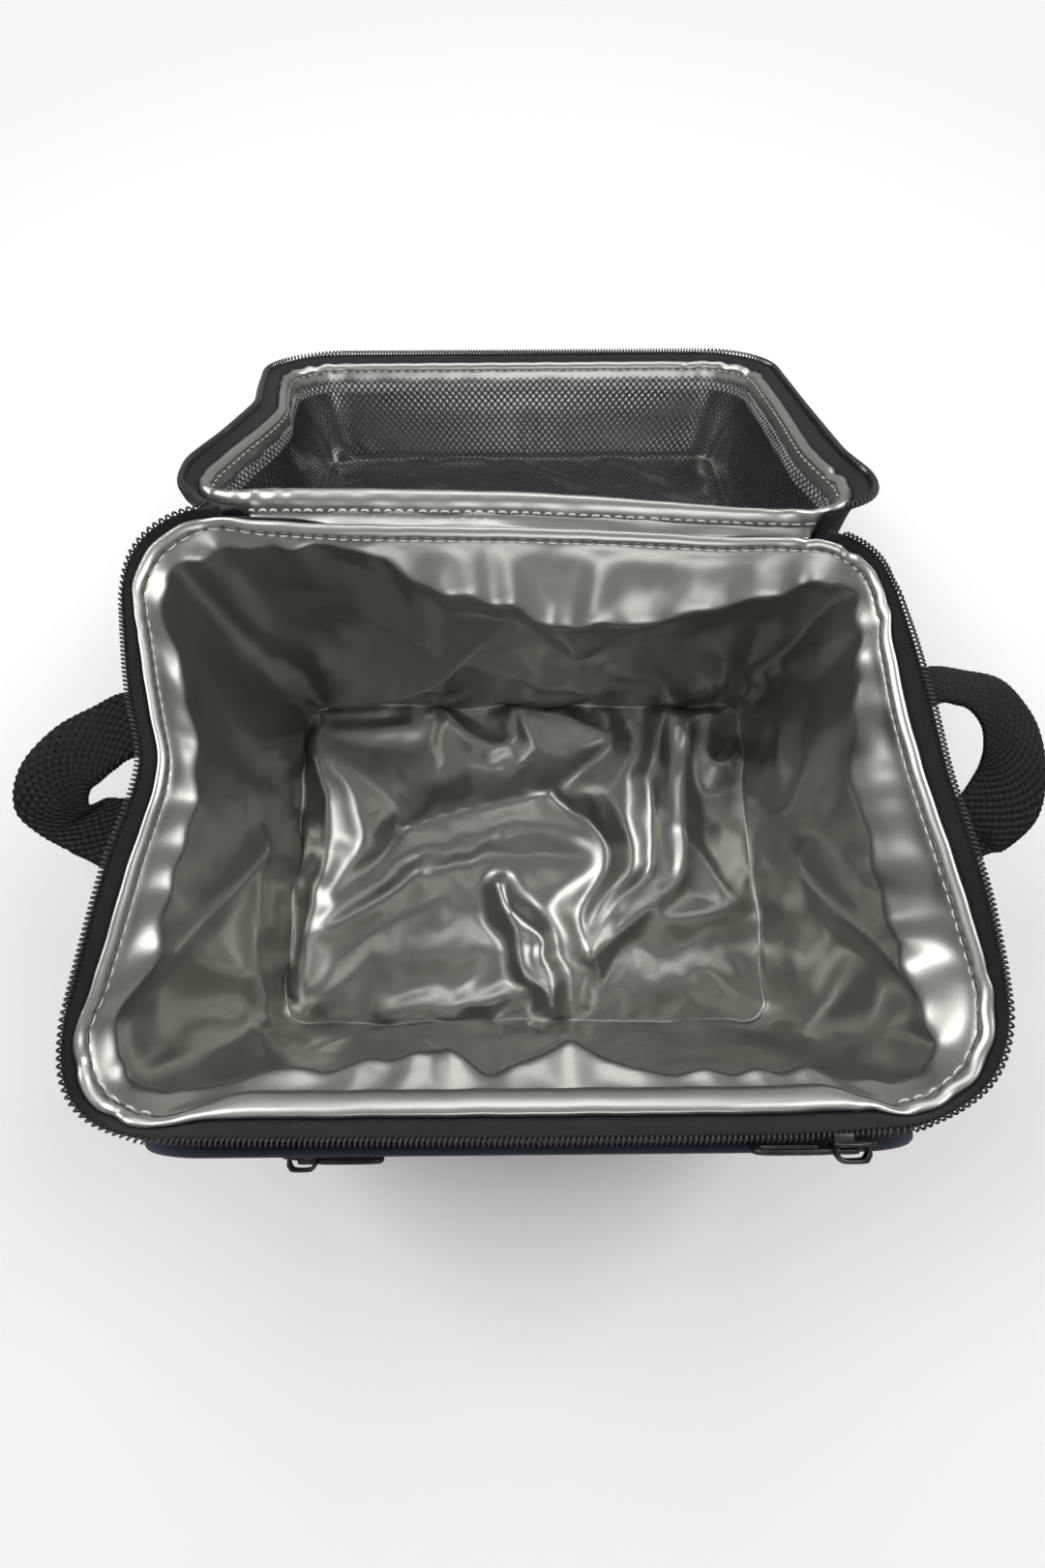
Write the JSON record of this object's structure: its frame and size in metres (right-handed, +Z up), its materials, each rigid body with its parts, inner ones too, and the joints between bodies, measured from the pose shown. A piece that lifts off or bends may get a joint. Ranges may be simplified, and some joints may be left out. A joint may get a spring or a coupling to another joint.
{
  "type": "insulated lunch bag",
  "caption": "Soft insulated lunch bag with a foil-lined body, a deep mesh-lined lid on a fabric hinge, a front zip pocket and webbing side handles.",
  "frame": {"origin": "centre of the underside of the base", "axes": "+Z up, +Y towards the lid hinge at the back, +X to the right as seen from the front pocket"},
  "size_m": [0.3284, 0.3518, 0.1452],
  "materials": {
    "black_fabric": "woven polyester, matt",
    "navy_fabric": "woven polyester, matt",
    "foam": "closed-cell polyethylene foam",
    "silver_foil": "metallised PEVA film, semi-gloss, creased",
    "silver_binding": "metallised PEVA film over a padded edge",
    "zipper_tape": "woven herringbone tape",
    "zipper_coil": "nylon monofilament coil",
    "webbing": "ribbed webbing",
    "black_mesh": "knitted diamond mesh",
    "slider_metal": "dark enamelled zinc"
  },
  "bodies": {
    "bag_body": {"base_panel": "black_fabric", "base_piping": "black_fabric", "outer_wall": "black_fabric", "foam_front": "foam", "foam_back": "foam", "foam_left": "foam", "foam_right": "foam", "foam_base": "foam", "liner": "silver_foil", "rim_binding": "silver_binding", "zipper_tape_body": "zipper_tape", "zipper_coil_body": "zipper_coil", "hinge_strip_body": "silver_binding", "pocket_gusset": "black_fabric", "pocket_panel": "navy_fabric", "pocket_piping": "black_fabric", "pocket_tape_upper": "zipper_tape", "pocket_tape_lower": "zipper_tape", "pocket_coil_upper": "zipper_coil", "pocket_coil_lower": "zipper_coil", "left_handle_tab_back": "webbing", "left_handle_tab_front": "webbing", "right_handle_tab_back": "webbing", "right_handle_tab_front": "webbing"},
    "lid": {"lid_wall": "black_fabric", "lid_top": "navy_fabric", "lid_liner": "silver_foil", "lid_foam_walls": "foam", "lid_foam_top": "foam", "lid_binding": "silver_binding", "zipper_tape_lid": "zipper_tape", "zipper_coil_lid": "zipper_coil", "hinge_strip_lid": "silver_binding", "lid_piping": "black_fabric", "mesh_lining": "black_mesh"},
    "left_handle": {"left_handle": "webbing"},
    "right_handle": {"right_handle": "webbing"},
    "main_slider": {"main_slider": "slider_metal"},
    "main_pull": {"main_pull": "slider_metal"},
    "pocket_slider": {"pocket_slider": "slider_metal"},
    "pocket_pull": {"pocket_pull": "slider_metal"}
  },
  "joints": [
    {"name": "lid_hinge", "type": "hinge", "parent": "bag_body", "child": "lid", "pos_m": [0, 0.0895, 0.141], "axis": [1, 0, 0], "range_deg": [0, 209]},
    {"name": "left_handle_swing", "type": "hinge", "parent": "bag_body", "child": "left_handle", "pos_m": [-0.1153, 0.007, 0.118], "axis": [0, 1, 0], "range_deg": [-60, 30]},
    {"name": "right_handle_swing", "type": "hinge", "parent": "bag_body", "child": "right_handle", "pos_m": [0.1153, 0.007, 0.118], "axis": [0, 1, 0], "range_deg": [-30, 60]},
    {"name": "main_slider_run", "type": "slide", "parent": "bag_body", "child": "main_slider", "axis": [-1, 0, 0], "range_m": [0, 0.156]},
    {"name": "main_pull_swing", "type": "hinge", "parent": "main_slider", "child": "main_pull", "pos_m": [0.078, -0.09195, 0.141], "axis": [0, 0, 1], "range_deg": [0, 150]},
    {"name": "pocket_slider_run", "type": "slide", "parent": "bag_body", "child": "pocket_slider", "axis": [1, 0, 0], "range_m": [0, 0.137]},
    {"name": "pocket_pull_swing", "type": "hinge", "parent": "pocket_slider", "child": "pocket_pull", "pos_m": [-0.0685, -0.10435, 0.0945], "axis": [0, 0, -1], "range_deg": [0, 150]}
  ]
}
